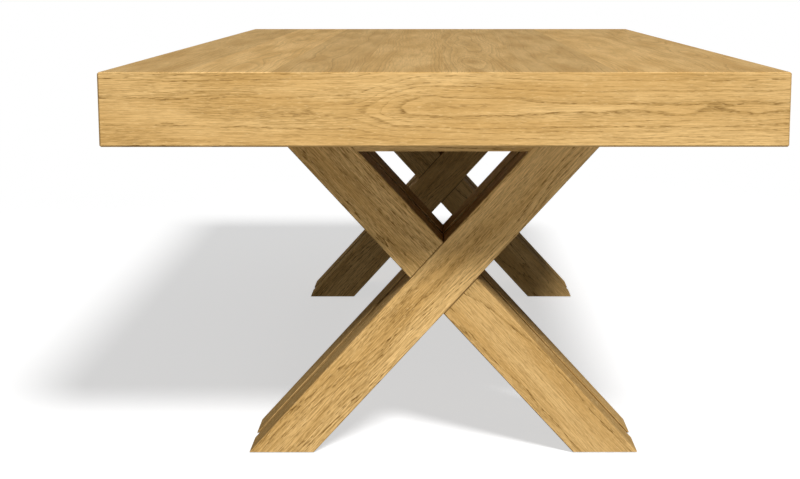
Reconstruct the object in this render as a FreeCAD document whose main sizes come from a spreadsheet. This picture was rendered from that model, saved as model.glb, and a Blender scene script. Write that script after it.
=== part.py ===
"""Sawbuck dining table in solid oak: a thick mitred top on two frames of paired, half-lapped crosses.

Millimetres. X runs across the table, Y along it and Z up, from the floor under the table's middle.
The front end is at -Y. A leg is called left or right after the side that its foot stands on.
"""

import FreeCAD, Part
import os
import Sketcher

doc = FreeCAD.newDocument("sawbuck_table")
sheet = doc.addObject("Spreadsheet::Sheet", "sizes")
aliases = []
parts = []


# ---------------------------------------------------------------- driving dimensions

def size(alias, value, note):
    """Writes one driving dimension to the sheet and returns the text that expressions use for it."""
    aliases.append(alias)
    row = len(aliases)
    sheet.set(f"A{row}", note)
    sheet.set(f"B{row}", str(value))
    sheet.setAlias(f"B{row}", alias)
    return f"sizes.{alias}"


TOP_LENGTH = size("top_length", 2200, "tabletop, end to end")
TOP_WIDTH = size("top_width", 1200, "tabletop, side to side")
TOP_HEIGHT = size("top_height", 775, "floor to the top surface")
BOARD_COUNT = size("board_count", 8, "boards across the top")
BOARD_THICKNESS = size("board_thickness", 30, "tabletop boards")
EDGE_HEIGHT = size("edge_height", 130, "apron with the board above it")
EDGE_THICKNESS = size("edge_thickness", 30, "apron boards")
EDGE_BEVEL = size("edge_bevel", 3, "bevel on the outer edges of the top")
LEG_WIDTH = size("leg_width", 95, "leg timber, across its front face")
LEG_THICKNESS = size("leg_thickness", 95, "leg timber, front to back")
LEG_BEVEL = size("leg_bevel", 1.5, "eased long edges of the legs")
SPACER_THICKNESS = size("spacer_thickness", 30, "set-back layer between two crosses")
SPACER_RECESS = size("spacer_recess", 4, "how far that layer is set back")
FRAME_INSET = size("frame_inset", 275, "end of the top to the face of its frame")
FOOT_SPREAD = size("foot_spread", 648, "between the legs' centre lines at the floor")
CROSSING_HEIGHT = size("crossing_height", 354.5, "floor to the middle of the crossing")
RAIL_HEIGHT = size("rail_height", 40, "rail between the leg tops")
BEARER_THICKNESS = size("bearer_thickness", 45, "cross bearers under the boards")
BEARER_BEVEL = size("bearer_bevel", 2, "eased lower edges of the bearers")
BATTEN = size("batten", 45, "square batten behind an end apron")
BLOCK = size("block", 70, "corner block, along each apron")
BLOCK_RISE = size("block_rise", 15, "corner block, above the apron's lower edge")
GLIDE_LENGTH = size("glide_length", 100, "felt glide, across the table")
GLIDE_WIDTH = size("glide_width", 75, "felt glide, along the table")
GLIDE_THICKNESS = size("glide_thickness", 2, "felt glide")
TONGUE_WIDTH = size("tongue_width", 20, "loose tongue between two boards")
TONGUE_THICKNESS = size("tongue_thickness", 6, "loose tongue")
TONGUE_STOP = size("tongue_stop", 60, "end of the top to the end of a tongue's groove")
FIT = size("fit", 0.1, "gap round glued and driven parts")
LAYER_DOWEL = size("layer_dowel", 8, "radius of the dowels through a frame's layers")
LAYER_BITE = size("layer_bite", 30, "depth of those dowels in each leg")
LOW_DOWEL_RISE = size("low_dowel_rise", 130, "floor to the lower layer dowels")
HIGH_DOWEL_DROP = size("high_dowel_drop", 105, "leg top down to the upper layer dowels")
RAIL_DOWEL = size("rail_dowel", 5, "radius of the dowels in the rail and bearer ends")
RAIL_BITE = size("rail_bite", 25, "depth of those dowels on each side of a rail's end")
APRON_BITE = size("apron_bite", 15, "depth of a bearer's end dowels in the apron")
LEG_DOWEL = size("leg_dowel", 6, "radius of the locating dowels in the leg tops")
LEG_BITE = size("leg_bite", 30, "depth of those dowels in leg and bearer")
BOLT_RADIUS = size("bolt_radius", 4, "M8 socket screw")
BOLT_HEAD = size("bolt_head", 6.5, "radius of its head")
BOLT_HEAD_HEIGHT = size("bolt_head_height", 8, "height of its head")
BOLT_SOCKET = size("bolt_socket", 6, "hexagon across its flats")
BOLT_SOCKET_DEPTH = size("bolt_socket_depth", 4, "depth of the hexagon")
BOLT_SINK = size("bolt_sink", 12, "depth of the pocket that hides head and washer")
WASHER_RADIUS = size("washer_radius", 8, "M8 washer")
WASHER_THICKNESS = size("washer_thickness", 1.6, "M8 washer")
INSERT_RADIUS = size("insert_radius", 6, "threaded insert in a bearer")
INSERT_LENGTH = size("insert_length", 18, "threaded insert")
BOLT_OVERRUN = size("bolt_overrun", 2.4, "bolt tip beyond its insert")
CLEARANCE = size("clearance", 0.5, "round a bolt or screw in its hole")
SCREW_RADIUS = size("screw_radius", 2.5, "wood screw")
SCREW_LENGTH = size("screw_length", 50, "under its head")
SCREW_HEAD = size("screw_head", 5, "radius of its head")
SCREW_HEAD_HEIGHT = size("screw_head_height", 3, "height of its head")
SCREW_BITE = size("screw_bite", 20, "depth of a screw in the board")
FASTENER_LINE = size("fastener_line", 10, "screws one way, bolts and dowels the other, off a bearer's middle")
BOLT_PLACE = size("bolt_place", 0.667, "share of the rail's lower half-length, out to the bolt")
doc.recompute()


# ---------------------------------------------------------------- dimensions that follow from them

HALF_LENGTH = f"({TOP_LENGTH} / 2)"
HALF_WIDTH = f"({TOP_WIDTH} / 2)"
BOARD_WIDTH = f"({TOP_WIDTH} / {BOARD_COUNT})"
UNDERSIDE = f"({TOP_HEIGHT} - {EDGE_HEIGHT})"
BOARD_FLOOR = f"({TOP_HEIGHT} - {BOARD_THICKNESS})"
BEARER_HEIGHT = f"({EDGE_HEIGHT} - {BOARD_THICKNESS})"
BEARER_LENGTH = f"({TOP_WIDTH} - 2 * {EDGE_THICKNESS})"
FRAME_DEPTH = f"(2 * {LEG_THICKNESS} + {SPACER_THICKNESS})"
SPACER_WIDTH = f"({LEG_WIDTH} - 2 * {SPACER_RECESS})"
RAIL_FLOOR = f"({UNDERSIDE} - {RAIL_HEIGHT})"
RAIL_MIDDLE = f"({UNDERSIDE} - {RAIL_HEIGHT} / 2)"
HIGH_DOWEL = f"({UNDERSIDE} - {HIGH_DOWEL_DROP})"
BOLT_GRIP = f"({RAIL_HEIGHT} - {BOLT_SINK} + {WASHER_THICKNESS})"
BOLT_LENGTH = f"({BOLT_GRIP} + {INSERT_LENGTH} + {BOLT_OVERRUN})"
LEAN = f"({FOOT_SPREAD} / 2 / {CROSSING_HEIGHT})"
SLANT = f"sqrt(1 + {LEAN} * {LEAN})"
MITRE_IN = f"({EDGE_BEVEL} * {EDGE_THICKNESS} / ({EDGE_THICKNESS} + {BOARD_THICKNESS}))"
MITRE_DOWN = f"({EDGE_BEVEL} * {BOARD_THICKNESS} / ({EDGE_THICKNESS} + {BOARD_THICKNESS}))"

LEFT = -1
RIGHT = 1
FRONT_FRAME = f"({FRAME_INSET} - {HALF_LENGTH})"
REAR_FRAME = f"({HALF_LENGTH} - {FRAME_INSET} - {FRAME_DEPTH})"
FRAMES = {"front": FRONT_FRAME, "rear": REAR_FRAME}
NEAR_CROSS = "0"
FAR_CROSS = f"({LEG_THICKNESS} + {SPACER_THICKNESS})"
CROSSES = {"near": NEAR_CROSS, "far": FAR_CROSS}
CROSS_NAMES = {
    ("front", "near"): "front_outer",
    ("front", "far"): "front_inner",
    ("rear", "near"): "rear_inner",
    ("rear", "far"): "rear_outer",
}


def leg_centre(side, height):
    """Where the centre line of the leg with its foot on this side is at a height."""
    return f"({side} * ({CROSSING_HEIGHT} - {height}) * {LEAN})"


def leg_middle(frame, cross):
    """The middle of a cross's thickness, along the table."""
    return f"({FRAMES[frame]} + {CROSSES[cross]} + {LEG_THICKNESS} / 2)"


def rail_end(height):
    """Half the length of the gap between the legs, above the crossing."""
    return f"(({height} - {CROSSING_HEIGHT}) * {LEAN} - {LEG_WIDTH} / 2 * {SLANT})"


BOLT_X = f"({BOLT_PLACE} * {rail_end(RAIL_FLOOR)})"

BEARERS = {
    "front_outer_bearer": leg_middle("front", "near"),
    "front_inner_bearer": leg_middle("front", "far"),
    "middle_bearer": "0",
    "rear_inner_bearer": leg_middle("rear", "near"),
    "rear_outer_bearer": leg_middle("rear", "far"),
}


# ---------------------------------------------------------------- how the pieces are drawn and cut

PLANES = {"X": ("YZ_Plane", 1), "Y": ("XZ_Plane", -1), "Z": ("XY_Plane", 1)}


def number(expression):
    """The value of an expression with the sizes as they are."""
    return float(sheet.evalExpression(str(expression)))


def new_body(label, x="0", y="0", z="0", turn=0, kept=True):
    """An empty body, placed by expressions and turned about Z. A kept body is one of the sub-parts."""
    body = doc.addObject("PartDesign::Body", label)
    body.Label = label
    body.Placement.Rotation = FreeCAD.Rotation(FreeCAD.Vector(0, 0, 1), turn)
    for letter, place in zip("xyz", (x, y, z)):
        body.setExpression(f"Placement.Base.{letter}", place)
    if kept:
        parts.append(body)
    return body


def sketch_across(body, axis, start):
    """An empty sketch on the body's own plane across an axis, moved along it to start."""
    role, facing = PLANES[axis]
    sketch = body.newObject("Sketcher::SketchObject", f"{body.Name}_sketch")
    own_plane = next(item for item in body.Origin.OriginFeatures if item.Role == role)
    sketch.AttachmentSupport = [(own_plane, "")]
    sketch.MapMode = "FlatFace"
    sketch.setExpression("AttachmentOffset.Base.z", f"{facing} * ({start})")
    return sketch


def bind(sketch, kind, geometry, point, expression):
    """Holds a point's distance from the sketch's origin at an expression."""
    rule = Sketcher.Constraint(kind, -1, 1, geometry, point, number(expression))
    sketch.setExpression(f"Constraints[{sketch.addConstraint(rule)}]", expression)


def outline(sketch, corners):
    """A closed outline of straight lines, with each corner bound to its two expressions."""
    first = sketch.GeometryCount
    spots = [FreeCAD.Vector(number(across), number(up), 0) for across, up in corners]
    count = len(spots)
    for index, spot in enumerate(spots):
        sketch.addGeometry(Part.LineSegment(spot, spots[(index + 1) % count]))
    for index, (across, up) in enumerate(corners):
        following = first + (index + 1) % count
        sketch.addConstraint(Sketcher.Constraint("Coincident", first + index, 2, following, 1))
        bind(sketch, "DistanceX", first + index, 1, across)
        bind(sketch, "DistanceY", first + index, 1, up)


def circle(sketch, across, up, radius):
    """A circle with its centre and radius bound to expressions."""
    centre = FreeCAD.Vector(number(across), number(up), 0)
    up_axis = FreeCAD.Vector(0, 0, 1)
    geometry = sketch.addGeometry(Part.Circle(centre, up_axis, number(radius)))
    bind(sketch, "DistanceX", geometry, 3, across)
    bind(sketch, "DistanceY", geometry, 3, up)
    rule = Sketcher.Constraint("Radius", geometry, number(radius))
    sketch.setExpression(f"Constraints[{sketch.addConstraint(rule)}]", radius)


def extrude(body, axis, start, corners, length):
    """Pads an outline from start along the positive axis."""
    sketch = sketch_across(body, axis, start)
    outline(sketch, corners)
    pad = body.newObject("PartDesign::Pad", f"{body.Name}_pad")
    pad.Profile = sketch
    pad.setExpression("Length", length)
    pad.Reversed = PLANES[axis][1] < 0
    doc.recompute()


def pocket(body, axis, sketch, depth, towards):
    """Cuts a finished sketch into the body, towards + or - along the axis, and makes sure it cut."""
    before = body.Shape.Volume
    feature = body.newObject("PartDesign::Pocket", f"{body.Name}_pocket")
    feature.Profile = sketch
    feature.setExpression("Length", depth)
    feature.Reversed = PLANES[axis][1] * towards > 0
    doc.recompute()
    if body.Shape.Volume > before - 1e-6:
        raise RuntimeError(f"{feature.Name} cuts nothing from {body.Label}")


def carve(body, axis, start, outlines, depth, towards):
    """Cuts straight-sided outlines into the body."""
    sketch = sketch_across(body, axis, start)
    for corners in outlines:
        outline(sketch, corners)
    pocket(body, axis, sketch, depth, towards)


def drill(body, axis, start, centres, radius, depth, towards):
    """Drills round holes of one radius, all from start."""
    sketch = sketch_across(body, axis, start)
    for across, up in centres:
        circle(sketch, across, up, radius)
    pocket(body, axis, sketch, depth, towards)


def ease(body, width, chosen):
    """Bevels the body's straight edges that the function chosen picks by their two ends."""
    base = body.Tip
    names = []
    for index, edge in enumerate(base.Shape.Edges, 1):
        ends = [vertex.Point for vertex in edge.Vertexes]
        if len(ends) == 2 and chosen(*ends):
            names.append(f"Edge{index}")
    bevel = body.newObject("PartDesign::Chamfer", f"{body.Name}_bevel")
    bevel.Base = (base, names)
    bevel.setExpression("Size", width)
    doc.recompute()


def turned(label, profile):
    """A body turned round Z from half its profile, for the groups below to repeat."""
    body = new_body(label, kept=False)
    sketch = sketch_across(body, "Y", "0")
    outline(sketch, profile)
    revolution = body.newObject("PartDesign::Revolution", f"{body.Name}_turn")
    revolution.Profile = sketch
    revolution.ReferenceAxis = (sketch, ["V_Axis"])
    revolution.Angle = 360
    doc.recompute()
    return body


TURNS = {
    "X": FreeCAD.Rotation(FreeCAD.Vector(0, 1, 0), 90),
    "Y": FreeCAD.Rotation(FreeCAD.Vector(1, 0, 0), -90),
    "Z": FreeCAD.Rotation(),
}


def group(label, pattern, places, axis="Z"):
    """Identical pieces in one node: links to one pattern, each placed by expressions along an axis."""
    links = []
    for index, place in enumerate(places):
        link = doc.addObject("App::Link", f"{label}_{index + 1}")
        link.LinkedObject = pattern
        link.Placement = FreeCAD.Placement(FreeCAD.Vector(), TURNS[axis])
        for letter, expression in zip("xyz", place):
            link.setExpression(f"Placement.Base.{letter}", expression)
        links.append(link)
    compound = doc.addObject("Part::Compound", label)
    compound.Label = label
    compound.Links = links
    parts.append(compound)


def rectangle(low_across, high_across, low_up, high_up):
    """The four corners of an upright rectangle."""
    return [
        (low_across, low_up),
        (high_across, low_up),
        (high_across, high_up),
        (low_across, high_up),
    ]


# ---------------------------------------------------------------- the top

BOARDS = round(number(BOARD_COUNT))
SCREW_LINES = [f"({place} + {FASTENER_LINE})" for place in BEARERS.values()]
BOARD_CENTRES = [f"(({index} + 0.5) * {BOARD_WIDTH} - {HALF_WIDTH})" for index in range(BOARDS)]
GROOVE_HALF = f"({TONGUE_THICKNESS} / 2 + {FIT})"
DOWEL_HEIGHTS = [f"{BEARER_HEIGHT} / 4", f"{BEARER_HEIGHT} * 3 / 4"]


def top_board(index):
    """A board with mitred ends, grooved where a neighbour meets it, its outer edge mitred too."""
    body = new_body(
        f"top_board_{index + 1}",
        x=f"{index} * {BOARD_WIDTH} - {HALF_WIDTH}",
        z=BOARD_FLOOR,
    )
    half = HALF_LENGTH
    extrude(
        body,
        "X",
        "0",
        [
            (f"{EDGE_THICKNESS} - {half}", "0"),
            (f"{half} - {EDGE_THICKNESS}", "0"),
            (f"{half} - {MITRE_IN}", f"{BOARD_THICKNESS} - {MITRE_DOWN}"),
            (f"{half} - {EDGE_BEVEL}", BOARD_THICKNESS),
            (f"{EDGE_BEVEL} - {half}", BOARD_THICKNESS),
            (f"{MITRE_IN} - {half}", f"{BOARD_THICKNESS} - {MITRE_DOWN}"),
        ],
        BOARD_WIDTH,
    )
    if index == 0:
        mitre_outer_edge(body, "0", 1)
    if index == BOARDS - 1:
        mitre_outer_edge(body, BOARD_WIDTH, -1)
    groove = rectangle(
        f"{TONGUE_STOP} - {half}",
        f"{half} - {TONGUE_STOP}",
        f"{BOARD_THICKNESS} / 2 - {GROOVE_HALF}",
        f"{BOARD_THICKNESS} / 2 + {GROOVE_HALF}",
    )
    groove_depth = f"{TONGUE_WIDTH} / 2 + {FIT}"
    if index > 0:
        carve(body, "X", "0", [groove], groove_depth, 1)
    if index < BOARDS - 1:
        carve(body, "X", BOARD_WIDTH, [groove], groove_depth, -1)
    pilots = [(f"{BOARD_WIDTH} / 2", line) for line in SCREW_LINES]
    drill(body, "Z", "0", pilots, f"{SCREW_RADIUS} + {FIT}", f"{SCREW_BITE} + {CLEARANCE}", 1)


def mitre_outer_edge(body, outer, inward):
    """Mitres a long edge for the side apron, with its half of the bevel."""
    waste = [
        (f"{outer} + {inward} * {EDGE_THICKNESS}", "0"),
        (f"{outer} + {inward} * {MITRE_IN}", f"{BOARD_THICKNESS} - {MITRE_DOWN}"),
        (f"{outer} + {inward} * {EDGE_BEVEL}", BOARD_THICKNESS),
        (f"{outer} - {inward} * {EDGE_BEVEL}", BOARD_THICKNESS),
        (f"{outer} - {inward} * {EDGE_BEVEL}", "0"),
    ]
    carve(body, "Y", f"-{HALF_LENGTH}", [waste], TOP_LENGTH, 1)


def tongue(index):
    """A loose tongue in the grooves of two neighbouring boards."""
    body = new_body(
        f"board_tongue_{index}",
        x=f"{index} * {BOARD_WIDTH} - {HALF_WIDTH}",
        z=f"{TOP_HEIGHT} - {BOARD_THICKNESS} / 2",
    )
    section = rectangle(
        f"{TONGUE_STOP} + {FIT} - {HALF_LENGTH}",
        f"{HALF_LENGTH} - {TONGUE_STOP} - {FIT}",
        f"-{TONGUE_THICKNESS} / 2",
        f"{TONGUE_THICKNESS} / 2",
    )
    extrude(body, "X", f"-{TONGUE_WIDTH} / 2", section, TONGUE_WIDTH)


def apron(label, length, x, y, turn, dowelled):
    """An apron board with its outer face at its own y = 0, mitred to the top and at both ends."""
    body = new_body(label, x=x, y=y, z=UNDERSIDE, turn=turn)
    extrude(
        body,
        "X",
        f"-{length} / 2",
        [
            (EDGE_BEVEL, "0"),
            (EDGE_THICKNESS, "0"),
            (EDGE_THICKNESS, BEARER_HEIGHT),
            (MITRE_IN, f"{EDGE_HEIGHT} - {MITRE_DOWN}"),
            ("0", f"{EDGE_HEIGHT} - {EDGE_BEVEL}"),
            ("0", EDGE_BEVEL),
        ],
        length,
    )
    waste = []
    for end in (LEFT, RIGHT):
        tip = f"{end} * {length} / 2"
        waste.append(
            [
                (f"{tip} - {end} * {EDGE_BEVEL}", "0"),
                (f"{tip} - {end} * {EDGE_BEVEL} / 2", f"{EDGE_BEVEL} / 2"),
                (f"{tip} - {end} * {EDGE_THICKNESS}", EDGE_THICKNESS),
                (f"{tip} + {end} * {EDGE_BEVEL}", EDGE_THICKNESS),
                (f"{tip} + {end} * {EDGE_BEVEL}", "0"),
            ]
        )
    carve(body, "Z", "0", waste, EDGE_HEIGHT, 1)
    if dowelled:
        holes = [(place, height) for place in BEARERS.values() for height in DOWEL_HEIGHTS]
        depth = f"{APRON_BITE} + {FIT}"
        drill(body, "Y", EDGE_THICKNESS, holes, f"{RAIL_DOWEL} + {FIT}", depth, -1)


def bearer(label, y, carries_frame):
    """A cross bearer: screwed up into the boards, dowelled to the side aprons."""
    body = new_body(label, y=y, z=UNDERSIDE)
    half_thickness = f"{BEARER_THICKNESS} / 2"
    half_length = f"{BEARER_LENGTH} / 2"
    section = rectangle(f"-{half_thickness}", half_thickness, "0", BEARER_HEIGHT)
    extrude(body, "X", f"-{half_length}", section, BEARER_LENGTH)
    ease(body, BEARER_BEVEL, lambda a, b: a.z + b.z < 1 and abs(a.x - b.x) > 1)
    screws = [(centre, FASTENER_LINE) for centre in BOARD_CENTRES]
    sink = f"{BEARER_HEIGHT} + {SCREW_BITE} - {SCREW_LENGTH}"
    drill(body, "Z", "0", screws, f"{SCREW_HEAD} + {CLEARANCE}", sink, 1)
    drill(body, "Z", "0", screws, f"{SCREW_RADIUS} + {CLEARANCE}", BEARER_HEIGHT, 1)
    ends = [("0", height) for height in DOWEL_HEIGHTS]
    depth = f"{RAIL_BITE} + {FIT}"
    drill(body, "X", f"-{half_length}", ends, f"{RAIL_DOWEL} + {FIT}", depth, 1)
    drill(body, "X", half_length, ends, f"{RAIL_DOWEL} + {FIT}", depth, -1)
    if carries_frame:
        line = f"-{FASTENER_LINE}"
        tops = [(leg_centre(side, UNDERSIDE), line) for side in (LEFT, RIGHT)]
        bolts = [(f"{side} * {BOLT_X}", line) for side in (LEFT, RIGHT)]
        reach = f"{INSERT_LENGTH} + {BOLT_OVERRUN} + {CLEARANCE}"
        drill(body, "Z", "0", tops, f"{LEG_DOWEL} + {FIT}", f"{LEG_BITE} + {FIT}", 1)
        drill(body, "Z", "0", bolts, f"{INSERT_RADIUS} + {FIT}", f"{INSERT_LENGTH} + {FIT}", 1)
        drill(body, "Z", "0", bolts, f"{BOLT_RADIUS} + {CLEARANCE}", reach, 1)


def batten(label, y, turn):
    """A square batten in the corner between an end apron and the boards."""
    body = new_body(label, y=y, z=BOARD_FLOOR, turn=turn)
    length = f"({BEARER_LENGTH} - 2 * {BLOCK})"
    section = rectangle("0", BATTEN, f"-{BATTEN}", "0")
    extrude(body, "X", f"-{length} / 2", section, length)


def corner_block(label, x_side, y_side, turn):
    """A three-cornered block glued into a corner of the aprons."""
    body = new_body(
        label,
        x=f"{x_side} * ({HALF_WIDTH} - {EDGE_THICKNESS})",
        y=f"{y_side} * ({HALF_LENGTH} - {EDGE_THICKNESS})",
        z=f"{UNDERSIDE} + {BLOCK_RISE}",
        turn=turn,
    )
    corners = [("0", "0"), (BLOCK, "0"), ("0", BLOCK)]
    extrude(body, "Z", "0", corners, f"{BEARER_HEIGHT} - {BLOCK_RISE}")


# ---------------------------------------------------------------- the frames

def strip(side, width, low, high):
    """A slanting timber seen from the front, cut level at two heights."""
    half = f"{width} / 2 * {SLANT}"
    foot = leg_centre(side, low)
    head = leg_centre(side, high)
    return [
        (f"{foot} - {half}", low),
        (f"{foot} + {half}", low),
        (f"{head} + {half}", high),
        (f"{head} - {half}", high),
    ]


def slanting_timber(label, side, y, width, thickness, bevel=None):
    """A timber with half its thickness notched away where it crosses its partner.

    The left timber keeps its front half there and the right one its back half.
    """
    body = new_body(label, y=y)
    extrude(body, "Y", "0", strip(side, width, GLIDE_THICKNESS, UNDERSIDE), thickness)
    if bevel:
        ease(body, bevel, lambda a, b: abs(a.z - b.z) > 1)
    partner = strip(-side, width, GLIDE_THICKNESS, UNDERSIDE)
    carve(body, "Y", f"{thickness} / 2", [partner], thickness, -side)
    return body


def layer_holes(side, with_crossing):
    """Where the layer dowels pass through a timber."""
    heights = [LOW_DOWEL_RISE, HIGH_DOWEL]
    if with_crossing:
        heights.append(CROSSING_HEIGHT)
    return [(leg_centre(side, height), height) for height in heights]


def leg(frame, cross, side):
    """A square leg with its lap, its dowel holes and a level foot and top."""
    hand = "left" if side == LEFT else "right"
    place = f"{FRAMES[frame]} + {CROSSES[cross]}"
    label = f"{CROSS_NAMES[frame, cross]}_{hand}_leg"
    body = slanting_timber(label, side, place, LEG_WIDTH, LEG_THICKNESS, LEG_BEVEL)
    fitted = f"{LAYER_DOWEL} + {FIT}"
    depth = f"{LAYER_BITE} + {FIT}"
    if cross == "near":
        holes = layer_holes(side, side == RIGHT)
        drill(body, "Y", LEG_THICKNESS, holes, fitted, depth, -1)
    else:
        holes = layer_holes(side, side == LEFT)
        drill(body, "Y", "0", holes, fitted, depth, 1)
    top = [(leg_centre(side, UNDERSIDE), f"{LEG_THICKNESS} / 2 - {FASTENER_LINE}")]
    drill(body, "Z", UNDERSIDE, top, f"{LEG_DOWEL} + {FIT}", f"{LEG_BITE} + {FIT}", -1)
    start = f"{-side} * ({rail_end(RAIL_MIDDLE)} + {RAIL_BITE} + {FIT})"
    end_hole = [(f"{LEG_THICKNESS} / 2", RAIL_MIDDLE)]
    drill(body, "X", start, end_hole, f"{RAIL_DOWEL} + {FIT}", f"2 * {RAIL_BITE}", side)


def spacer(frame, side):
    """One timber of the set-back cross between a frame's two crosses of legs."""
    hand = "left" if side == LEFT else "right"
    place = f"{FRAMES[frame]} + {LEG_THICKNESS}"
    label = f"{frame}_{hand}_spacer"
    body = slanting_timber(label, side, place, SPACER_WIDTH, SPACER_THICKNESS)
    holes = layer_holes(side, True)
    drill(body, "Y", "0", holes, f"{LAYER_DOWEL} + {FIT}", SPACER_THICKNESS, 1)


def rail(frame):
    """The rail between the leg tops, as deep as the whole frame, bolted up to two bearers."""
    body = new_body(f"{frame}_top_rail", y=FRAMES[frame])
    low = rail_end(RAIL_FLOOR)
    high = rail_end(UNDERSIDE)
    corners = [
        (f"-{low}", RAIL_FLOOR),
        (low, RAIL_FLOOR),
        (high, UNDERSIDE),
        (f"-{high}", UNDERSIDE),
    ]
    extrude(body, "Y", "0", corners, FRAME_DEPTH)
    middles = [f"({place} + {LEG_THICKNESS} / 2)" for place in CROSSES.values()]
    ends = [(middle, RAIL_MIDDLE) for middle in middles]
    for side in (LEFT, RIGHT):
        start = f"{side} * ({rail_end(RAIL_MIDDLE)} - {RAIL_BITE} - {FIT})"
        drill(body, "X", start, ends, f"{RAIL_DOWEL} + {FIT}", f"2 * {RAIL_BITE}", side)
    bolts = []
    for middle in middles:
        for side in (LEFT, RIGHT):
            bolts.append((f"{side} * {BOLT_X}", f"{middle} - {FASTENER_LINE}"))
    drill(body, "Z", RAIL_FLOOR, bolts, f"{WASHER_RADIUS} + {CLEARANCE}", BOLT_SINK, 1)
    drill(body, "Z", RAIL_FLOOR, bolts, f"{BOLT_RADIUS} + {CLEARANCE}", RAIL_HEIGHT, 1)


# ---------------------------------------------------------------- fasteners, dowels and glides

def dowel(label, radius, length):
    """A dowel from z = 0 up, with a bevelled rim at both ends."""
    rim = f"{radius} / 5"
    profile = [
        ("0", "0"),
        (f"{radius} - {rim}", "0"),
        (radius, rim),
        (radius, f"{length} - {rim}"),
        (f"{radius} - {rim}", length),
        ("0", length),
    ]
    return turned(label, profile)


def socket_screw():
    """A socket screw that points up from its seat at z = 0, its head below."""
    radius = BOLT_RADIUS
    tip = f"{radius} / 4"
    profile = [
        ("0", f"-{BOLT_HEAD_HEIGHT}"),
        (BOLT_HEAD, f"-{BOLT_HEAD_HEIGHT}"),
        (BOLT_HEAD, "0"),
        (radius, "0"),
        (radius, f"{BOLT_LENGTH} - {tip}"),
        (f"{radius} - {tip}", BOLT_LENGTH),
        ("0", BOLT_LENGTH),
    ]
    body = turned("socket_screw", profile)
    flat = f"{BOLT_SOCKET} / 2"
    corner = f"{BOLT_SOCKET} / sqrt(3)"
    hexagon = [
        (corner, "0"),
        (f"{corner} / 2", flat),
        (f"-{corner} / 2", flat),
        (f"-{corner}", "0"),
        (f"-{corner} / 2", f"-{flat}"),
        (f"{corner} / 2", f"-{flat}"),
    ]
    carve(body, "Z", f"-{BOLT_HEAD_HEIGHT}", [hexagon], BOLT_SOCKET_DEPTH, 1)
    return body


def wood_screw():
    """A pan-head wood screw that points up from its seat at z = 0."""
    profile = [
        ("0", f"-{SCREW_HEAD_HEIGHT}"),
        (f"{SCREW_HEAD} / 2", f"-{SCREW_HEAD_HEIGHT}"),
        (SCREW_HEAD, f"-{SCREW_HEAD_HEIGHT} / 2"),
        (SCREW_HEAD, "0"),
        (SCREW_RADIUS, "0"),
        (SCREW_RADIUS, f"{SCREW_LENGTH} - 2 * {SCREW_RADIUS}"),
        ("0", SCREW_LENGTH),
    ]
    return turned("wood_screw", profile)


def ring(label, bore, radius, length):
    """A washer or a sleeve from z = 0 up."""
    return turned(label, rectangle(bore, radius, "0", length))


def layer_dowels():
    """Dowels from one cross of legs through the spacer into the other."""
    places = []
    for start in FRAMES.values():
        y = f"{start} + {LEG_THICKNESS} - {LAYER_BITE}"
        for side in (LEFT, RIGHT):
            places += [(x, y, z) for x, z in layer_holes(side, side == LEFT)]
    length = f"(2 * {LAYER_BITE} + {SPACER_THICKNESS})"
    group("layer_dowels", dowel("layer_dowel_pattern", LAYER_DOWEL, length), places, "Y")


def each_leg_top():
    """The frame, cross and side of each leg."""
    return [(frame, cross, side) for frame in FRAMES for cross in CROSSES for side in (LEFT, RIGHT)]


def rail_dowels():
    """Dowels from the rail ends into the legs."""
    places = []
    for frame, cross, side in each_leg_top():
        x = f"{side} * {rail_end(RAIL_MIDDLE)} - {RAIL_BITE}"
        places.append((x, leg_middle(frame, cross), RAIL_MIDDLE))
    length = f"(2 * {RAIL_BITE})"
    group("rail_dowels", dowel("rail_dowel_pattern", RAIL_DOWEL, length), places, "X")


def bearer_dowels():
    """Dowels from the bearer ends into the side aprons."""
    left = f"-{BEARER_LENGTH} / 2 - {APRON_BITE}"
    right = f"{BEARER_LENGTH} / 2 - {RAIL_BITE}"
    heights = [f"{UNDERSIDE} + {height}" for height in DOWEL_HEIGHTS]
    places = [(x, y, z) for y in BEARERS.values() for x in (left, right) for z in heights]
    length = f"({APRON_BITE} + {RAIL_BITE})"
    group("bearer_dowels", dowel("bearer_dowel_pattern", RAIL_DOWEL, length), places, "X")


def leg_dowels():
    """Locating dowels from the leg tops into the bearers."""
    places = []
    for frame, cross, side in each_leg_top():
        y = f"{leg_middle(frame, cross)} - {FASTENER_LINE}"
        places.append((leg_centre(side, UNDERSIDE), y, f"{UNDERSIDE} - {LEG_BITE}"))
    length = f"(2 * {LEG_BITE})"
    group("leg_dowels", dowel("leg_dowel_pattern", LEG_DOWEL, length), places)


def frame_bolts():
    """Socket screws with washers up through the rails into threaded inserts in the bearers."""
    seat = f"({RAIL_FLOOR} + {BOLT_SINK} - {WASHER_THICKNESS})"
    spots = []
    for frame, cross, side in each_leg_top():
        spots.append((f"{side} * {BOLT_X}", f"{leg_middle(frame, cross)} - {FASTENER_LINE}"))
    bore = f"{BOLT_RADIUS} + {FIT}"
    washer = ring("washer_pattern", bore, WASHER_RADIUS, WASHER_THICKNESS)
    insert = ring("insert_pattern", bore, INSERT_RADIUS, INSERT_LENGTH)
    group("frame_bolts", socket_screw(), [(x, y, seat) for x, y in spots])
    group("bolt_washers", washer, [(x, y, seat) for x, y in spots])
    group("threaded_inserts", insert, [(x, y, UNDERSIDE) for x, y in spots])


def board_screws():
    """Wood screws from the bearers into the boards."""
    seat = f"{BOARD_FLOOR} + {SCREW_BITE} - {SCREW_LENGTH}"
    places = [(x, y, seat) for y in SCREW_LINES for x in BOARD_CENTRES]
    group("board_screws", wood_screw(), places)


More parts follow.
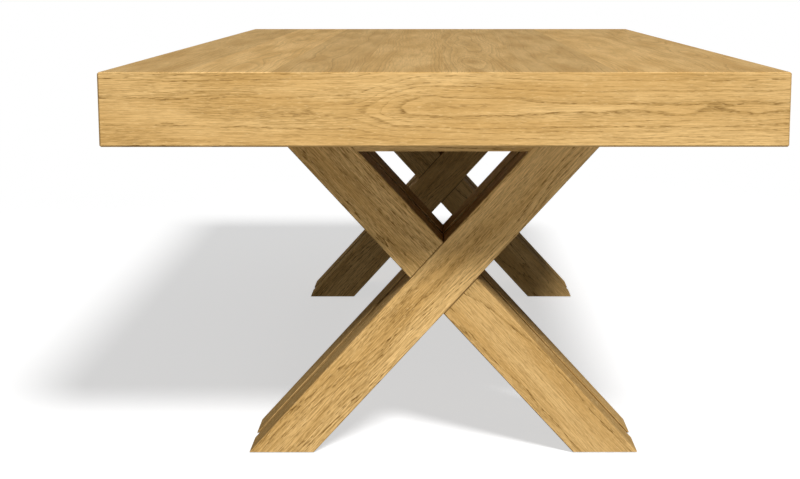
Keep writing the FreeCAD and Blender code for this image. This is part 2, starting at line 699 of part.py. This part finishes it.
def foot_glides():
    """Felt glides, one under each foot."""
    pattern = new_body("glide_pattern", kept=False)
    half_length = f"{GLIDE_LENGTH} / 2"
    half_width = f"{GLIDE_WIDTH} / 2"
    corners = rectangle(f"-{half_length}", half_length, f"-{half_width}", half_width)
    extrude(pattern, "Z", "0", corners, GLIDE_THICKNESS)
    places = []
    for frame, cross, side in each_leg_top():
        places.append((leg_centre(side, GLIDE_THICKNESS), leg_middle(frame, cross), "0"))
    group("foot_glides", pattern, places)


# ---------------------------------------------------------------- the table

for index in range(BOARDS):
    top_board(index)
for index in range(1, BOARDS):
    tongue(index)

apron("front_apron", TOP_WIDTH, "0", f"-{HALF_LENGTH}", 0, False)
apron("right_apron", TOP_LENGTH, HALF_WIDTH, "0", 90, True)
apron("rear_apron", TOP_WIDTH, "0", HALF_LENGTH, 180, False)
apron("left_apron", TOP_LENGTH, f"-{HALF_WIDTH}", "0", 270, True)

batten("front_batten", f"{EDGE_THICKNESS} - {HALF_LENGTH}", 0)
batten("rear_batten", f"{HALF_LENGTH} - {EDGE_THICKNESS}", 180)

corner_block("front_left_corner_block", LEFT, -1, 0)
corner_block("front_right_corner_block", RIGHT, -1, 90)
corner_block("rear_right_corner_block", RIGHT, 1, 180)
corner_block("rear_left_corner_block", LEFT, 1, 270)

for name, place in BEARERS.items():
    bearer(name, place, name != "middle_bearer")

for frame, cross, side in each_leg_top():
    leg(frame, cross, side)
for frame in FRAMES:
    spacer(frame, LEFT)
    spacer(frame, RIGHT)
    rail(frame)

layer_dowels()
rail_dowels()
bearer_dowels()
leg_dowels()
frame_bolts()
board_screws()
foot_glides()


# ---------------------------------------------------------------- checked, then written

doc.recompute()
for item in doc.Objects:
    if "Invalid" in item.State or "Error" in item.State:
        raise RuntimeError(f"{item.Label} did not build: {item.State}")
for item in parts:
    if item.Shape.isNull() or not item.Shape.isValid():
        raise RuntimeError(f"{item.Label} has no valid shape")

os.makedirs("parts", exist_ok=True)
for item in parts:
    item.Shape.exportStep(f"parts/{item.Label}.step")
print(len(parts), "sub-parts,", sum(len(item.Shape.Solids) for item in parts), "solids")
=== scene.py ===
"""Looks of a sawbuck table: oiled oak outside, with sawn oak, beech, zinc steel and felt inside."""
import math

import bpy
from mathutils import Matrix, Vector


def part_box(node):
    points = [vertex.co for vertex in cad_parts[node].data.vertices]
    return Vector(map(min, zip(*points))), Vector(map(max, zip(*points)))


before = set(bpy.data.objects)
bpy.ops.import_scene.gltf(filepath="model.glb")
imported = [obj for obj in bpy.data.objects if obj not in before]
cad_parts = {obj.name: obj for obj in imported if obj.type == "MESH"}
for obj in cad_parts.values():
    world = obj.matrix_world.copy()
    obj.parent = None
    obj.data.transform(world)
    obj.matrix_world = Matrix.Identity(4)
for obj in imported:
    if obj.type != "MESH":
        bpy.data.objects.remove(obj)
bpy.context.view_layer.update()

MM = 0.001

# The table's front end faces -Y, and its boards run along Y.
RIGHT = Vector((1, 0, 0))
REAR = Vector((0, 1, 0))
UP = Vector((0, 0, 1))


def linear(code, tone=1.0):
    """An sRGB hex colour, made lighter or darker by tone, as the linear values a shader takes."""
    shares = [int(code[i:i + 2], 16) / 255 for i in (1, 3, 5)]
    plain = [s / 12.92 if s <= 0.04045 else ((s + 0.055) / 1.055) ** 2.4 for s in shares]
    return (*[min(1.0, s * tone) for s in plain], 1)


def add(tree, kind, links=None, **settings):
    """Adds a node. settings are its properties, and links gives each socket its source or its value."""
    node = tree.nodes.new(kind)
    for name, value in settings.items():
        setattr(node, name, value)
    for socket, source in (links or {}).items():
        if isinstance(source, bpy.types.NodeSocket):
            tree.links.new(source, node.inputs[socket])
        else:
            node.inputs[socket].default_value = source
    return node


def ramp(node, stops):
    """Sets a Color Ramp's stops, each a place and a grey or a colour, and returns its colour."""
    marks = node.color_ramp.elements
    while len(marks) < len(stops):
        marks.new(0.5)
    for mark, (place, shade) in zip(marks, stops):
        mark.position = place
        mark.color = shade if isinstance(shade, tuple) else (shade, shade, shade, 1)
    return node.outputs["Color"]


def material_tree(name):
    """A new empty material and its node tree."""
    material = bpy.data.materials.new(name)
    material.use_nodes = True
    material.node_tree.nodes.clear()
    return material, material.node_tree


def turn_to(along, outward):
    """The turn that lays X along the grain and Z out of the face."""
    across = outward.cross(along).normalized()
    out = along.cross(across).normalized()
    return Matrix((along, across, out)).transposed().to_euler()


# A piece's noise is moved by its seed along the grain, and by this share of it across.
SEED_ASIDE = 0.37


def noise_of(tree, place, size, detail, seed=0.0):
    """Noise whose lumps measure about size, three lengths in mm."""
    scale = [1 / (length * MM) for length in size]
    fit = add(tree, "ShaderNodeMapping",
              {"Vector": place, "Location": (seed, seed * SEED_ASIDE, 0), "Scale": scale})
    return add(tree, "ShaderNodeTexNoise",
               {"Vector": fit.outputs["Vector"], "Scale": 1.0, "Detail": detail}).outputs["Fac"]


def finish(node, material):
    """Gives a CAD node's object this material in every slot."""
    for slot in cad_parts[node].material_slots:
        slot.material = material


def middle(node):
    """The middle of a node's box."""
    low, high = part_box(node)
    return (low + high) / 2


# The legs are square timbers: their depth along the table is also their width.
low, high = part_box("front_outer_left_leg")
LEG_SIZE = high.y - low.y

# Painted shade at a halved joint: a dark line this wide beside the partner, where the joint's groove is in
# shade, and a dark strip this deep at the glued face, where the groove between the layers is in shade. Then
# how strong the two are, and the tone that the colour of the pores takes in them.
SHADE_LINE_WIDTH = 1.2 * MM
GROOVE_SHADE_DEPTH = 0.4 * MM
LINE_SHADE_SHARE = 0.85
GROOVE_SHADE_SHARE = 0.6
PAINTED_SHADE_TONE = 0.6

# Oak. Each material is the inside of one log, cut through where the timber lies in it, so the figure
# runs round edges and ends as it does in wood. Patterns: length along the grain, width and depth across
# it, in mm, and the noise's detail. Real pores are 0.3 mm wide and are drawn as 1.5 mm, to show at all.
PATTERNS = {
    "bow": ((620, 150, 150), 1.0),
    "ripple": ((85, 16, 16), 2.0),
    "shade": ((340, 48, 48), 3.0),
    "fibre": ((60, 1.7, 1.7), 2.0),
    "pores": ((14, 1.5, 1.5), 1.0),
    "rays": ((11, 1.6, 30), 1.0),
    "patch": ((260, 42, 42), 1.0),
    "saw": ((3, 90, 90), 2.0),
}

# Years of wide and of narrow rings take turns over this length. Most of a year's pores are in its early
# wood, and a few in the rest.
SEASONS = 9 * MM
EARLY_PORES = 0.8
LATE_PORES = 0.2

# Oak planed, sanded and oiled: warm straw colour, brown broken lines of pores, hardly any shine. ring is
# a year's growth and band its early wood, and bow and ripple are how far the rings stray, all in mm.
# streak, lined, open and patchy are the strength of fibres, rings, pores and calmer patches. rough is
# the roughness of the wood and of its pores, shine how much it mirrors, and sawn how deep its saw marks
# look.
OILED_OAK = {
    "light": "#EAC282",
    "dark": "#D2A868",
    "line": "#9C7840",
    "pore": "#76562A",
    "ray": "#F0CE92",
    "ring": 3.6,
    "band": 1.1,
    "bow": 34,
    "ripple": 3.0,
    "streak": 0.5,
    "lined": 0.55,
    "open": 1.0,
    "rough": (0.84, 0.92),
    "shine": 0.02,
    "patchy": 0.3,
    "sawn": 0.0,
}

# Oak straight from the saw, for what nobody sees: paler and greyer, with saw marks across the grain.
SAWN_OAK = dict(OILED_OAK, light="#D8BE94", dark="#C3A478", line="#9A7F58", pore="#77603F", ray="#DDC7A0",
                rough=(0.9, 0.98), sawn=0.5)


def oak(name, look, pith, along, outward, tone=1.0, seed=0.0,
        bend=(0, 1, 0, 0), busy=(0, 1, 1, 1), lap=None):
    """Oak from a log whose pith passes through the point pith.

    along is the way the grain runs and outward the way the sawn face looks. tone makes the wood lighter
    or darker, and seed sets its noise apart from that of other pieces. bend is where along the grain, in
    mm from pith, the pith starts and stops moving, and how far it moves aside and outward. busy is where
    the grain starts and stops changing, and how strong its streaks and pores are before and after.
    lap is a halved joint: its middle, the way across its partner, the side that is cut away, and the
    way out of the face that is glued to the next layer.
    """
    material, tree = material_tree(name)
    place = add(tree, "ShaderNodeTexCoord").outputs["Object"]
    log = add(tree, "ShaderNodeMapping",
              {"Vector": place, "Location": pith, "Rotation": turn_to(along, outward)},
              vector_type="TEXTURE").outputs["Vector"]
    noise = {pattern: noise_of(tree, log, size, detail, seed)
             for pattern, (size, detail) in PATTERNS.items()}
    length = add(tree, "ShaderNodeSeparateXYZ", {0: log}).outputs["X"]

    # Distance from the pith, bent by the trunk's own bows and ripples, counts the growth rings.
    start, stop, aside, rise = bend
    bent = add(tree, "ShaderNodeMapRange", {"Value": length, "From Min": start * MM, "From Max": stop * MM},
               interpolation_type="SMOOTHSTEP").outputs["Result"]
    moved = add(tree, "ShaderNodeVectorMath", {0: (0, aside * MM, rise * MM), "Scale": bent},
                operation="SCALE").outputs["Vector"]
    spoke = add(tree, "ShaderNodeVectorMath", {0: log, 1: moved}, operation="SUBTRACT").outputs["Vector"]
    flat = add(tree, "ShaderNodeVectorMath", {0: spoke, 1: (0, 1, 1)}, operation="MULTIPLY")
    radius = add(tree, "ShaderNodeVectorMath", {0: flat.outputs["Vector"]}, operation="LENGTH")
    bowed = add(tree, "ShaderNodeMath",
                {0: noise["bow"], 1: look["bow"] * MM, 2: radius.outputs["Value"]},
                operation="MULTIPLY_ADD").outputs[0]
    rippled = add(tree, "ShaderNodeMath", {0: noise["ripple"], 1: look["ripple"] * MM, 2: bowed},
                  operation="MULTIPLY_ADD").outputs[0]
    season = add(tree, "ShaderNodeTexNoise", {"W": rippled, "Scale": 1 / SEASONS, "Detail": 0.0},
                 noise_dimensions="1D").outputs["Fac"]
    rings = add(tree, "ShaderNodeMath", {0: rippled, 1: 1 / (look["ring"] * MM), 2: season},
                operation="MULTIPLY_ADD").outputs[0]
    year = add(tree, "ShaderNodeMath", {0: rings}, operation="FLOOR").outputs[0]
    strong = add(tree, "ShaderNodeTexWhiteNoise", {"W": year}, noise_dimensions="1D").outputs["Value"]
    growth = add(tree, "ShaderNodeMath", {0: rings}, operation="FRACT").outputs[0]
    band = look["band"] / look["ring"]
    early = ramp(add(tree, "ShaderNodeValToRGB", {"Fac": growth}),
                 [(0.0, 0.8), (0.2 * band, 1.0), (band, 0.45), (2 * band, 0.08), (0.95, 0.0), (1.0, 0.8)])
    early = add(tree, "ShaderNodeMath", {0: early, 1: strong}, operation="MULTIPLY").outputs[0]

    # Open pores crowd the early wood of each ring and thin out in the rest.
    start, stop, before, after = busy
    lively = add(tree, "ShaderNodeMapRange",
                 {"Value": length, "From Min": start * MM, "From Max": stop * MM,
                  "To Min": before, "To Max": after}, interpolation_type="SMOOTHSTEP").outputs["Result"]
    patches = ramp(add(tree, "ShaderNodeValToRGB", {"Fac": noise["patch"]}),
                   [(0.4, 1 - look["patchy"]), (0.6, 1.0)])
    lively = add(tree, "ShaderNodeMath", {0: lively, 1: patches}, operation="MULTIPLY").outputs[0]
    holes = ramp(add(tree, "ShaderNodeValToRGB", {"Fac": noise["pores"]}), [(0.5, 0.0), (0.64, 1.0)])
    crowd = add(tree, "ShaderNodeMath",
                {0: early, 1: EARLY_PORES * look["open"], 2: LATE_PORES * look["open"]},
                operation="MULTIPLY_ADD").outputs[0]
    pores = add(tree, "ShaderNodeMath", {0: holes, 1: crowd}, operation="MULTIPLY").outputs[0]
    pores = add(tree, "ShaderNodeMath", {0: pores, 1: lively}, operation="MULTIPLY",
                use_clamp=True).outputs[0]

    # Colour: patches of heartwood, then streaks of fibre, early wood, rays and pores on them.
    wood = ramp(add(tree, "ShaderNodeValToRGB", {"Fac": noise["shade"]}),
                [(0.36, linear(look["dark"], tone)), (0.62, linear(look["light"], tone))])
    fibres = ramp(add(tree, "ShaderNodeValToRGB", {"Fac": noise["fibre"]}),
                  [(0.36, 0.0), (0.66, look["streak"])])
    fibres = add(tree, "ShaderNodeMath", {0: fibres, 1: lively}, operation="MULTIPLY",
                 use_clamp=True).outputs[0]
    lines = add(tree, "ShaderNodeMath", {0: early, 1: look["lined"]}, operation="MULTIPLY").outputs[0]
    flecks = ramp(add(tree, "ShaderNodeValToRGB", {"Fac": noise["rays"]}), [(0.62, 0.0), (0.74, 0.4)])
    for share, colour in ((fibres, "line"), (lines, "line"), (flecks, "ray"), (pores, "pore")):
        wood = add(tree, "ShaderNodeMix", {0: share, 6: wood, 7: linear(look[colour], tone)},
                   data_type="RGBA").outputs[2]

    # Painted shade: the wood is darkened in a line beside the crossing partner and in a strip at the glued
    # face, where the grooves at the joints are in shade.
    if lap:
        centre, partner, cut, glued = lap
        apart = add(tree, "ShaderNodeVectorMath", {0: place, 1: centre},
                    operation="SUBTRACT").outputs["Vector"]
        beside, front, under = [
            add(tree, "ShaderNodeVectorMath", {0: apart, 1: way}, operation="DOT_PRODUCT").outputs["Value"]
            for way in (partner, cut, glued)]
        beside = add(tree, "ShaderNodeMath", {0: beside}, operation="ABSOLUTE").outputs[0]
        edge = LEG_SIZE / 2 + SHADE_LINE_WIDTH
        seam_shade = add(tree, "ShaderNodeMapRange",
                   {"Value": beside, "From Min": edge, "From Max": edge + SHADE_LINE_WIDTH,
                    "To Min": LINE_SHADE_SHARE, "To Max": 0.0}).outputs["Result"]
        on_cut = add(tree, "ShaderNodeMath", {0: front, 1: 0.0}, operation="GREATER_THAN").outputs[0]
        seam_shade = add(tree, "ShaderNodeMath", {0: seam_shade, 1: on_cut}, operation="MULTIPLY").outputs[0]
        groove_shade = add(tree, "ShaderNodeMath", {0: under, 1: LEG_SIZE / 2 - GROOVE_SHADE_DEPTH},
                   operation="GREATER_THAN").outputs[0]
        joint = add(tree, "ShaderNodeMath", {0: groove_shade, 1: GROOVE_SHADE_SHARE, 2: seam_shade}, operation="MULTIPLY_ADD",
                    use_clamp=True).outputs[0]
        wood = add(tree, "ShaderNodeMix", {0: joint, 6: wood, 7: linear(look["pore"], PAINTED_SHADE_TONE)},
                   data_type="RGBA").outputs[2]

    smooth, coarse = look["rough"]
    rough = add(tree, "ShaderNodeMapRange", {"Value": pores, "To Min": smooth, "To Max": coarse})
    relief = add(tree, "ShaderNodeBump", {"Height": pores, "Strength": 0.35, "Distance": 0.4 * MM},
                 invert=True).outputs["Normal"]
    if look["sawn"]:
        relief = add(tree, "ShaderNodeBump", {"Height": noise["saw"], "Strength": look["sawn"],
                                              "Distance": 0.8 * MM, "Normal": relief}).outputs["Normal"]
    surface = add(tree, "ShaderNodeBsdfPrincipled",
                  {"Base Color": wood, "Roughness": rough.outputs["Result"], "Normal": relief,
                   "Specular IOR Level": look["shine"]})
    add(tree, "ShaderNodeOutputMaterial", {"Surface": surface.outputs["BSDF"]})
    return material


# How far behind its middle, seen from its sawn face, a timber's pith lies, in mm. Then how far the seeds
# of two timbers of one kind are apart.
PITHS = {"board": 45, "side_apron": 75, "leg": 60, "spacer": 30, "rail": 50, "bearer": 60, "block": 50}
SEEDS = {"board": 7.3, "leg": 26.1, "spacer": 2.9, "rail": 3.3, "bearer": 5.3, "block": 6.1}

# The top: eight boards along the table. Their own shades show the joints between them, and more coats of
# oil give them a little more shine. By turns, their piths lie at three depths, each this much deeper, and
# this far left and right of the boards' middles, in mm.
BOARD_TONES = (0.95, 1.09, 0.93, 0.98, 0.94, 0.91, 1.09, 1.03)
BOARD_OAK = dict(OILED_OAK, open=0.35, streak=0.3, shine=0.12)
BOARD_DEEPER = 17
BOARD_ASIDE = 12
for number, tone in enumerate(BOARD_TONES, 1):
    board = f"top_board_{number}"
    depth = PITHS["board"] + BOARD_DEEPER * (number % 3)
    aside = BOARD_ASIDE * (-1) ** number
    core = middle(board) - UP * depth * MM + RIGHT * aside * MM
    finish(board, oak(f"oiled_oak_{board}", BOARD_OAK, core, REAR, UP, tone, number * SEEDS["board"]))

# The end aprons come from logs with wide rings: how far behind its middle and above it each one's pith
# lies, in mm, and the rest of its figure. The front one is busiest on its left, and has a flame where
# its pith comes near the face, with long lines to the right of it.
END_OAK = dict(OILED_OAK, ring=8.0, band=1.5, bow=40, ripple=9.0, lined=0.62, open=0.95, patchy=0.4)
END_APRONS = {
    "front_apron": (-REAR, 26, -4, 0.98, 12.4, (-170, -20, 10, 26), (-250, 0, 1.4, 1.0)),
    "rear_apron": (REAR, 65, 10, 1.0, 8.4, (60, 260, 0, 30), (0, 1, 1, 1)),
}
for apron, (out, behind, above, tone, seed, bend, busy) in END_APRONS.items():
    core = middle(apron) - out * behind * MM + UP * above * MM
    finish(apron, oak(f"oiled_oak_{apron}", END_OAK, core, RIGHT, out, tone, seed, bend, busy))
for side, out, seed in (("left", -RIGHT, 5.7), ("right", RIGHT, 1.9)):
    apron = f"{side}_apron"
    core = middle(apron) - out * PITHS["side_apron"] * MM
    finish(apron, oak(f"oiled_oak_{apron}", OILED_OAK, core, REAR, out, seed=seed))


def lean(node):
    """The way a slanting timber's grain runs, from its box and its square section."""
    low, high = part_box(node)
    run = high.x - low.x
    rise = high.z - low.z
    angle = math.atan2(rise, run) + math.asin(LEG_SIZE / math.hypot(run, rise))
    side = 1 if "left" in node else -1
    return Vector((side * math.cos(angle), 0, math.sin(angle)))


# The left legs have close, straight lines and are busiest below the crossing. The right ones have a wide
# figure and are busiest above it. LEG_ASIDE is how far beside a leg's middle its pith lies, in mm.
# LEG_CUTS is the side that is cut away at the crossing: in front, a left leg passes over its right one.
LEG_OAKS = {
    "left": dict(OILED_OAK, ring=4.4, band=1.2, lined=0.75, open=1.2, streak=0.55, patchy=0.2, ripple=4.0),
    "right": dict(OILED_OAK, ring=7.0, band=1.6, lined=0.8, open=1.3, streak=0.5, patchy=0.2, ripple=7.0),
}
LEG_BENDS = {"left": (-330, 250, -50, 0), "right": (-250, 330, 50, 0)}
LEG_ASIDE = {"left": 60, "right": 8}
LEG_BUSY = {"left": (-150, 120, 1.45, 1.05), "right": (-60, 120, 1.1, 1.6)}
LEG_TONES = {"left": 1.1, "right": 0.98}
LEG_CUTS = {"left": REAR, "right": -REAR}
count = 0
for end, out in (("front", -REAR), ("rear", REAR)):
    for layer in ("outer", "inner"):
        for side in ("left", "right"):
            leg = f"{end}_{layer}_{side}_leg"
            count += 1
            face = out if layer == "outer" else -out
            grain = lean(leg)
            across = face.cross(grain)
            centre = middle(leg)
            crossing = centre - grain * (centre.x / grain.x)
            lap = (crossing, Vector((grain.z, 0, grain.x)), LEG_CUTS[side], -face)
            core = centre - face * PITHS["leg"] * MM + across * LEG_ASIDE[side] * MM
            finish(leg, oak(f"oiled_oak_{leg}", LEG_OAKS[side], core, grain, face, LEG_TONES[side],
                            count * SEEDS["leg"], LEG_BENDS[side], LEG_BUSY[side], lap))
    for side in ("left", "right"):
        spacer = f"{end}_{side}_spacer"
        core = middle(spacer) - out * PITHS["spacer"] * MM
        finish(spacer, oak(f"oiled_oak_{spacer}", OILED_OAK, core, lean(spacer), out, tone=0.9,
                           seed=count * SEEDS["spacer"]))
    rail = f"{end}_top_rail"
    core = middle(rail) - UP * PITHS["rail"] * MM
    finish(rail, oak(f"oiled_oak_{rail}", OILED_OAK, core, RIGHT, UP, tone=0.97,
                     seed=count * SEEDS["rail"]))

# Under the top: bearers and battens across the table, and the corner blocks.
INNER = ["front_outer_bearer", "front_inner_bearer", "middle_bearer", "rear_inner_bearer",
         "rear_outer_bearer", "front_batten", "rear_batten"]
for number, timber in enumerate(INNER):
    core = middle(timber) + UP * PITHS["bearer"] * MM
    finish(timber, oak(f"sawn_oak_{timber}", SAWN_OAK, core, RIGHT, -UP, seed=number * SEEDS["bearer"]))
for number, corner in enumerate(("front_left", "front_right", "rear_left", "rear_right")):
    block = f"{corner}_corner_block"
    core = middle(block) + RIGHT * PITHS["block"] * MM
    finish(block, oak(f"sawn_oak_{block}", SAWN_OAK, core, UP, -RIGHT, seed=number * SEEDS["block"]))


def beech(name, along, outward):
    """Steamed beech: pinkish, close-grained, with short brown flecks 0.5 mm wide, drawn as 1 mm."""
    material, tree = material_tree(name)
    place = add(tree, "ShaderNodeTexCoord").outputs["Object"]
    grain = add(tree, "ShaderNodeMapping", {"Vector": place, "Rotation": turn_to(along, outward)},
                vector_type="TEXTURE").outputs["Vector"]
    wood = ramp(add(tree, "ShaderNodeValToRGB", {"Fac": noise_of(tree, grain, (90, 5, 5), 3.0)}),
                [(0.35, linear("#C99F77")), (0.65, linear("#DDB892"))])
    flecks = ramp(add(tree, "ShaderNodeValToRGB", {"Fac": noise_of(tree, grain, (4, 1, 1), 1.0)}),
                  [(0.6, 0.0), (0.72, 0.6)])
    wood = add(tree, "ShaderNodeMix", {0: flecks, 6: wood, 7: linear("#94653F")},
               data_type="RGBA").outputs[2]
    relief = add(tree, "ShaderNodeBump", {"Height": flecks, "Strength": 0.2, "Distance": 0.2 * MM},
                 invert=True)
    surface = add(tree, "ShaderNodeBsdfPrincipled",
                  {"Base Color": wood, "Roughness": 0.7, "Normal": relief.outputs["Normal"],
                   "Specular IOR Level": 0.3})
    add(tree, "ShaderNodeOutputMaterial", {"Surface": surface.outputs["BSDF"]})
    return material


tongue_beech = beech("beech_tongues", REAR, UP)
for number in range(1, len(BOARD_TONES)):
    finish(f"board_tongue_{number}", tongue_beech)
finish("layer_dowels", beech("beech_layer_dowels", REAR, UP))
finish("rail_dowels", beech("beech_rail_dowels", RIGHT, UP))
finish("bearer_dowels", beech("beech_bearer_dowels", RIGHT, UP))
finish("leg_dowels", beech("beech_leg_dowels", UP, RIGHT))


def zinc_steel(name):
    """Bright zinc plating with a thin blue and straw passivation, cloudy over a few millimetres."""
    material, tree = material_tree(name)
    place = add(tree, "ShaderNodeTexCoord").outputs["Object"]
    cloud = noise_of(tree, place, (5, 5, 5), 3.0)
    plating = ramp(add(tree, "ShaderNodeValToRGB", {"Fac": cloud}),
                   [(0.36, linear("#B9BDC4")), (0.5, linear("#C6C7C6")), (0.64, linear("#CBC5B0"))])
    rough = add(tree, "ShaderNodeMapRange", {"Value": noise_of(tree, place, (1, 1, 1), 3.0),
                                             "To Min": 0.26, "To Max": 0.46})
    surface = add(tree, "ShaderNodeBsdfPrincipled",
                  {"Base Color": plating, "Metallic": 1.0, "Roughness": rough.outputs["Result"]})
    add(tree, "ShaderNodeOutputMaterial", {"Surface": surface.outputs["BSDF"]})
    return material


plated = zinc_steel("zinc_plated_steel")
for fixing in ("frame_bolts", "bolt_washers", "threaded_inserts", "board_screws"):
    finish(fixing, plated)


def felt(name):
    """Pressed wool felt: matt brown, flecked where fibres of other shades lie, soft at the edges."""
    material, tree = material_tree(name)
    place = add(tree, "ShaderNodeTexCoord").outputs["Object"]
    fibres = noise_of(tree, place, (2.5, 1.2, 1.2), 4.0)
    wool = ramp(add(tree, "ShaderNodeValToRGB", {"Fac": fibres}),
                [(0.35, linear("#4E3F31")), (0.55, linear("#6B5844")), (0.7, linear("#86725B"))])
    relief = add(tree, "ShaderNodeBump", {"Height": fibres, "Strength": 0.6, "Distance": 0.5 * MM})
    surface = add(tree, "ShaderNodeBsdfPrincipled",
                  {"Base Color": wool, "Roughness": 1.0, "Normal": relief.outputs["Normal"],
                   "Specular IOR Level": 0.1, "Sheen Weight": 0.3})
    add(tree, "ShaderNodeOutputMaterial", {"Surface": surface.outputs["BSDF"]})
    return material


finish("foot_glides", felt("wool_felt"))


# Studio: a white floor and backdrop that show white, and give the table little light of their own.
def seen_directly(tree):
    """1 where a ray comes from the camera, a reflection or glass, and 0 for light that bounces."""
    path = add(tree, "ShaderNodeLightPath").outputs
    first = add(tree, "ShaderNodeMath", {0: path["Is Camera Ray"], 1: path["Is Glossy Ray"]},
                operation="MAXIMUM")
    return add(tree, "ShaderNodeMath", {0: first.outputs[0], 1: path["Is Transmission Ray"]},
               operation="MAXIMUM").outputs[0]


WHITE = (1, 1, 1, 1)

# The floor: lengths in metres. Near the table its glow and its shade add up to white where the key light
# falls, and leave a grey shadow where it doesn't. Light that bounces finds a darker floor. Between the
# two fade distances from the middle it turns plain white, so that the lamps leave no trace further out.
FLOOR_SIDE = 60.0
FLOOR_GLOW = 0.585
FLOOR_SHADED = 0.66
FLOOR_BOUNCE = 0.07
FLOOR_FADE = (2.3, 3.3)
floor_mesh = bpy.data.meshes.new("studio_floor")
half = FLOOR_SIDE / 2
corners = [(-half, -half, 0), (half, -half, 0), (half, half, 0), (-half, half, 0)]
floor_mesh.from_pydata(corners, [], [(0, 1, 2, 3)])
floor = bpy.data.objects.new("studio_floor", floor_mesh)
bpy.context.scene.collection.objects.link(floor)
paint, tree = material_tree("white_studio_floor")
glow = add(tree, "ShaderNodeEmission", {"Color": WHITE, "Strength": FLOOR_GLOW})
shade = add(tree, "ShaderNodeBsdfDiffuse", {"Color": (FLOOR_SHADED, FLOOR_SHADED, FLOOR_SHADED, 1)})
near = add(tree, "ShaderNodeAddShader", {0: glow.outputs[0], 1: shade.outputs[0]})
far = add(tree, "ShaderNodeEmission", {"Color": WHITE, "Strength": 1.0})
place = add(tree, "ShaderNodeTexCoord").outputs["Object"]
distance = add(tree, "ShaderNodeVectorMath", {0: place}, operation="LENGTH").outputs["Value"]
fade = add(tree, "ShaderNodeMapRange",
           {"Value": distance, "From Min": FLOOR_FADE[0], "From Max": FLOOR_FADE[1]},
           interpolation_type="SMOOTHSTEP").outputs["Result"]
white = add(tree, "ShaderNodeMixShader", {0: fade, 1: near.outputs[0], 2: far.outputs[0]})
bounce = add(tree, "ShaderNodeBsdfDiffuse", {"Color": (FLOOR_BOUNCE, FLOOR_BOUNCE, FLOOR_BOUNCE, 1)})
both = add(tree, "ShaderNodeMixShader",
           {0: seen_directly(tree), 1: bounce.outputs[0], 2: white.outputs[0]})
add(tree, "ShaderNodeOutputMaterial", {"Surface": both.outputs[0]})
floor_mesh.materials.append(paint)

# The backdrop shows plain white, and lights the table with this share of white.
WORLD_LIGHT = 0.08
world = bpy.data.worlds.new("studio")
bpy.context.scene.world = world
world.use_nodes = True
tree = world.node_tree
tree.nodes.clear()
soft = add(tree, "ShaderNodeBackground", {"Color": WHITE, "Strength": WORLD_LIGHT})
backdrop = add(tree, "ShaderNodeBackground", {"Color": WHITE, "Strength": 1.0})
both = add(tree, "ShaderNodeMixShader",
           {0: seen_directly(tree), 1: soft.outputs[0], 2: backdrop.outputs[0]})
add(tree, "ShaderNodeOutputWorld", {"Surface": both.outputs[0]})


def lamp(name, place, aim, power, **settings):
    """An area lamp at place that shines on the point aim. settings are its own, such as its size."""
    light = bpy.data.lights.new(name, "AREA")
    light.energy = power
    for setting, value in settings.items():
        setattr(light, setting, value)
    holder = bpy.data.objects.new(name, light)
    holder.location = place
    holder.rotation_euler = (Vector(aim) - Vector(place)).to_track_quat("-Z", "Y").to_euler()
    bpy.context.scene.collection.objects.link(holder)
    return holder


# The key is large and far off, so that the shadow it throws is soft-edged and spreads only a little.
# Lamps are given in metres and watts.
KEY_PLACE = (5.95, -15.3, 15.3)
KEY_AIM = (0.0, 0.0, 0.5)
KEY_POWER = 4600.0
KEY_WIDTH = 4.4
lamp("key_light", KEY_PLACE, KEY_AIM, KEY_POWER, shape="DISK", size=KEY_WIDTH)

# Weak fills for the sides that the key leaves dark: place, aim, power, width and height of each.
FILLS = {
    "front_light": ((0.0, -3.2, 0.35), (0.0, 0.0, 0.35), 20.0, 1.0, 0.5),
    "rear_light": ((0.0, 4.8, 0.2), (0.0, 1.0, 0.4), 45.0, 0.8, 0.4),
    "left_light": ((-3.4, 1.9, 0.35), (-0.6, 0.3, 0.6), 10.0, 1.2, 0.5),
}
for fill, (place, aim, power, width, height) in FILLS.items():
    soft_lamp = lamp(fill, place, aim, power, shape="RECTANGLE", size=width, size_y=height)
    soft_lamp.visible_camera = False

# The camera looks at the front end from a little above the top, tilted down and shifted to one side. Its
# place and reach are in metres, its lens and film in mm, its angles in degrees, and its shift in shares
# of the image's width.
CAMERA_PLACE = (-0.0149, -3.595, 0.933)
CAMERA_LENS = 65.0
CAMERA_FILM = 36.0
CAMERA_TILT = 8.66
CAMERA_TURN = -0.098
CAMERA_SHIFT = (-0.0479, -0.05)
CAMERA_REACH = 200.0
lens = bpy.data.cameras.new("camera")
lens.lens = CAMERA_LENS
lens.sensor_width = CAMERA_FILM
lens.shift_x, lens.shift_y = CAMERA_SHIFT
lens.clip_end = CAMERA_REACH
camera = bpy.data.objects.new("camera", lens)
camera.location = CAMERA_PLACE
camera.rotation_euler = (math.radians(90 - CAMERA_TILT), 0, math.radians(CAMERA_TURN))
bpy.context.scene.collection.objects.link(camera)
bpy.context.scene.camera = camera
bpy.context.scene.view_settings.view_transform = "Standard"
